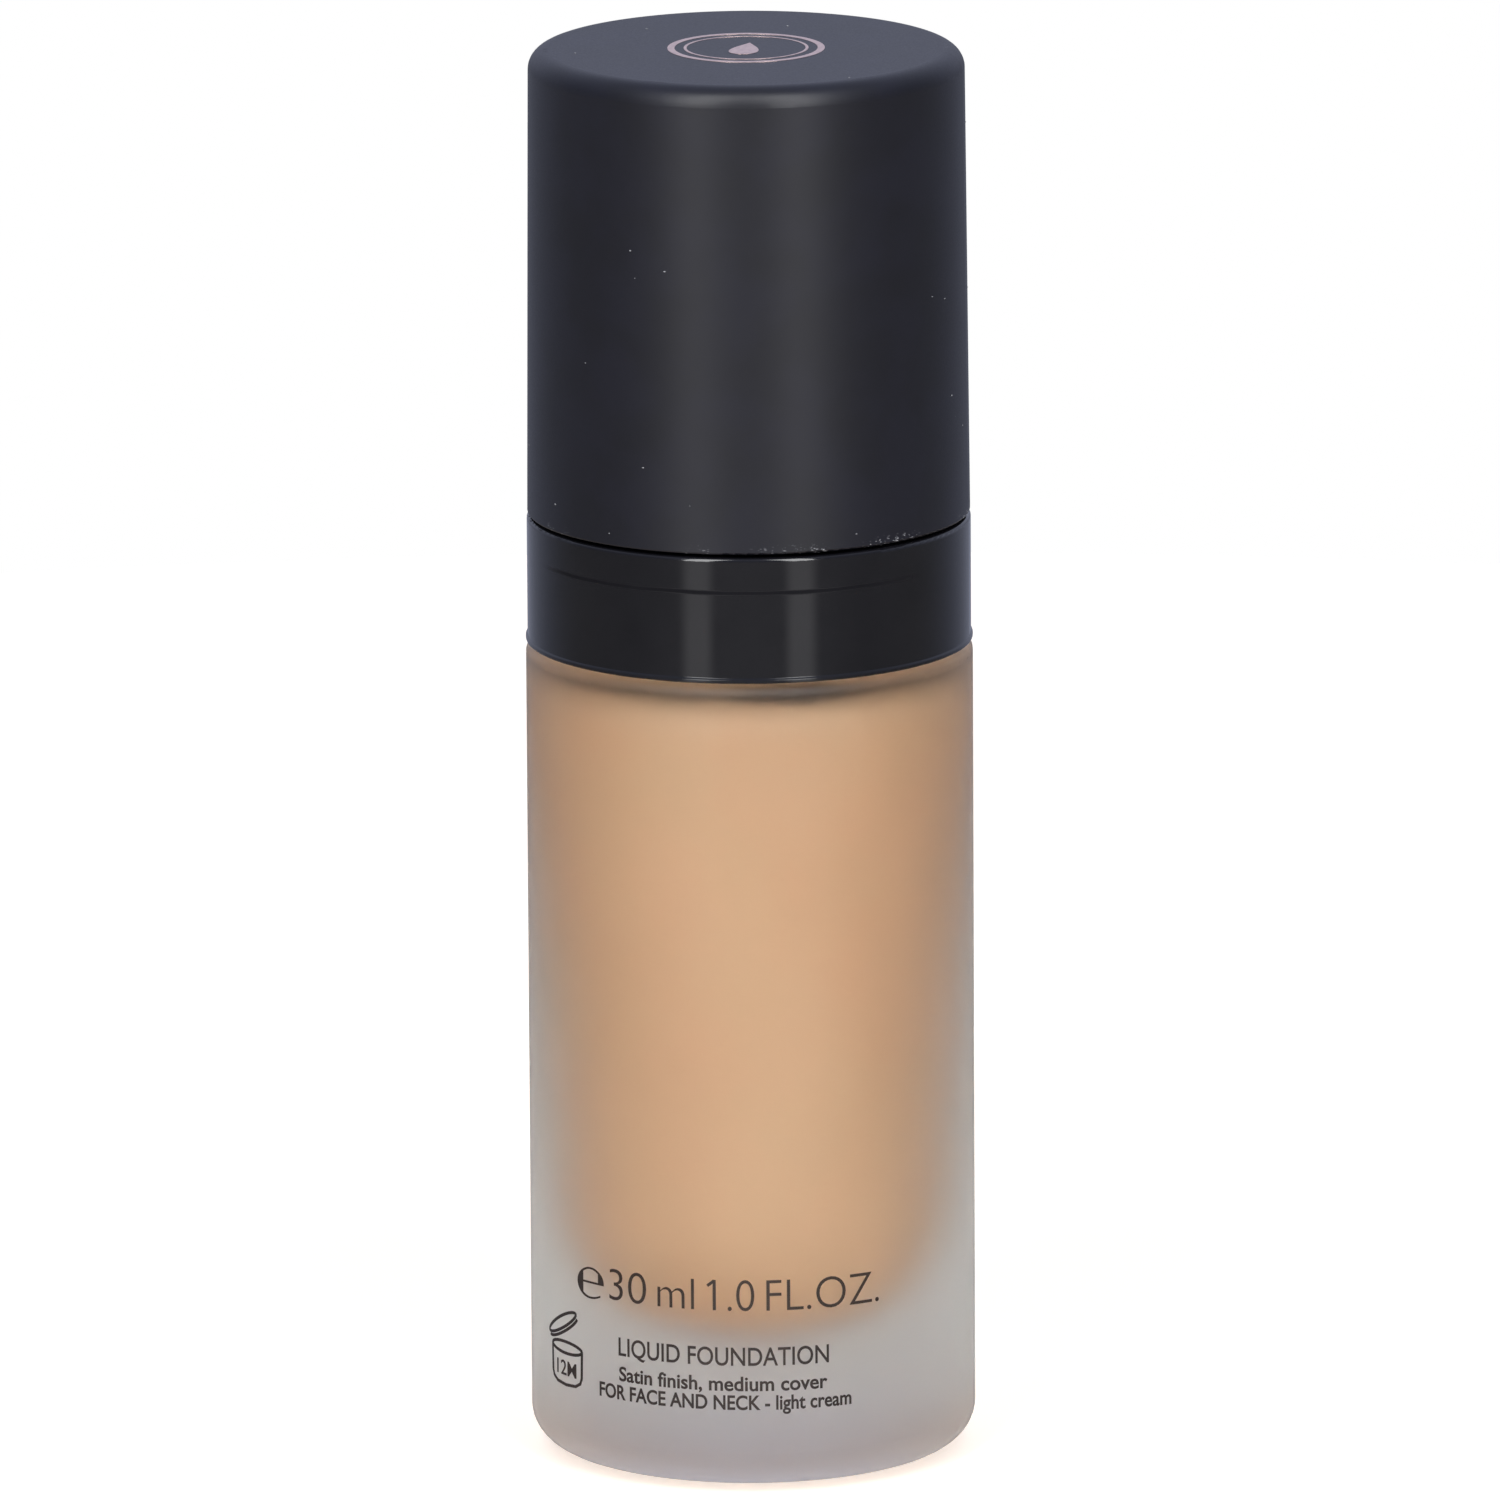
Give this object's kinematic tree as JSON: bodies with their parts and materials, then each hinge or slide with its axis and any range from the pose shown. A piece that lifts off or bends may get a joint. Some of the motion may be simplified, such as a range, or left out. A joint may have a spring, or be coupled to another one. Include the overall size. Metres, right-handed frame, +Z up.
{
  "type": "foundation bottle",
  "caption": "Cylindrical frosted glass foundation bottle with thick base, tan filling, lotion pump, glossy screw-on collar and matte pull-off cap.",
  "frame": {"origin": "centre of the round base, on the surface the bottle stands on", "axes": "+Z up along the bottle's axis, towards the cap; -Y towards the side with the small print and the pump nozzle; +X to the right seen from there"},
  "size_m": [0.038, 0.038, 0.1214],
  "materials": {
    "frosted_glass": "acid-etched satin",
    "foundation": "opaque tan cream filling",
    "gasket_foam": "soft foamed polyethylene",
    "pump_resin": "natural moulded polypropylene",
    "pump_resin_black": "black moulded polypropylene",
    "ball_steel": "ground",
    "spring_steel": "drawn wire",
    "ferrule_resin": "black moulded polypropylene",
    "collar_gloss": "polished black",
    "actuator_gloss": "polished black",
    "cap_matte": "soft-touch matte black",
    "liner_resin": "black moulded polypropylene",
    "emblem_foil": "hot-stamped rose-gold foil",
    "print_ink": "screen-printed dark brown ink"
  },
  "bodies": {
    "bottle": {"glass_bottle": "frosted_glass", "foundation_liquid": "foundation"},
    "pump": {"neck_gasket": "gasket_foam", "pump_housing": "pump_resin", "dip_tube": "pump_resin", "stem_retainer": "pump_resin", "return_spring": "spring_steel"},
    "closure": {"threaded_ferrule": "ferrule_resin", "collar_shell": "collar_gloss"},
    "cap": {"cap_shell": "cap_matte", "cap_liner": "liner_resin"},
    "stem": {"pump_stem": "pump_resin", "piston_rod": "pump_resin"},
    "piston": {"piston": "pump_resin"},
    "actuator": {"actuator_core": "pump_resin_black", "actuator_cover": "actuator_gloss", "nozzle_tip": "actuator_gloss"},
    "inlet_ball": {"inlet_ball": "ball_steel"}
  },
  "joints": [
    {"name": "pump_lift", "type": "slide", "parent": "bottle", "child": "pump", "axis": [0, 0, 1], "range_m": [0, 0.00476]},
    {"name": "closure_unscrew", "type": "hinge", "parent": "pump", "child": "closure", "pos_m": [0, 0, 0.08], "axis": [0, 0, 1], "range_deg": [0, 540]},
    {"name": "cap_lift", "type": "slide", "parent": "closure", "child": "cap", "axis": [0, 0, 1], "range_m": [0, 0.042]},
    {"name": "stem_press", "type": "slide", "parent": "pump", "child": "stem", "axis": [0, 0, -1], "range_m": [0, 0.0045], "stiffness_N_per_m": 1000, "springref_m": -0.004, "deforming": ["return_spring"]},
    {"name": "piston_slide", "type": "slide", "parent": "pump", "child": "piston", "axis": [0, 0, -1], "range_m": [0, 0.0041]},
    {"name": "actuator_turn", "type": "hinge", "parent": "stem", "child": "actuator", "pos_m": [0, 0, 0.1], "axis": [0, 0, 1], "continuous": true},
    {"name": "ball_lift", "type": "slide", "parent": "pump", "child": "inlet_ball", "axis": [0, 0, 1], "range_m": [0, 0.0008]}
  ],
  "couplings": [
    {"joint": "pump_lift", "follows": "closure_unscrew", "m_per_rad": 0.00050531},
    {"joint": "piston_slide", "follows": "stem_press", "ratio": 0.9}
  ]
}
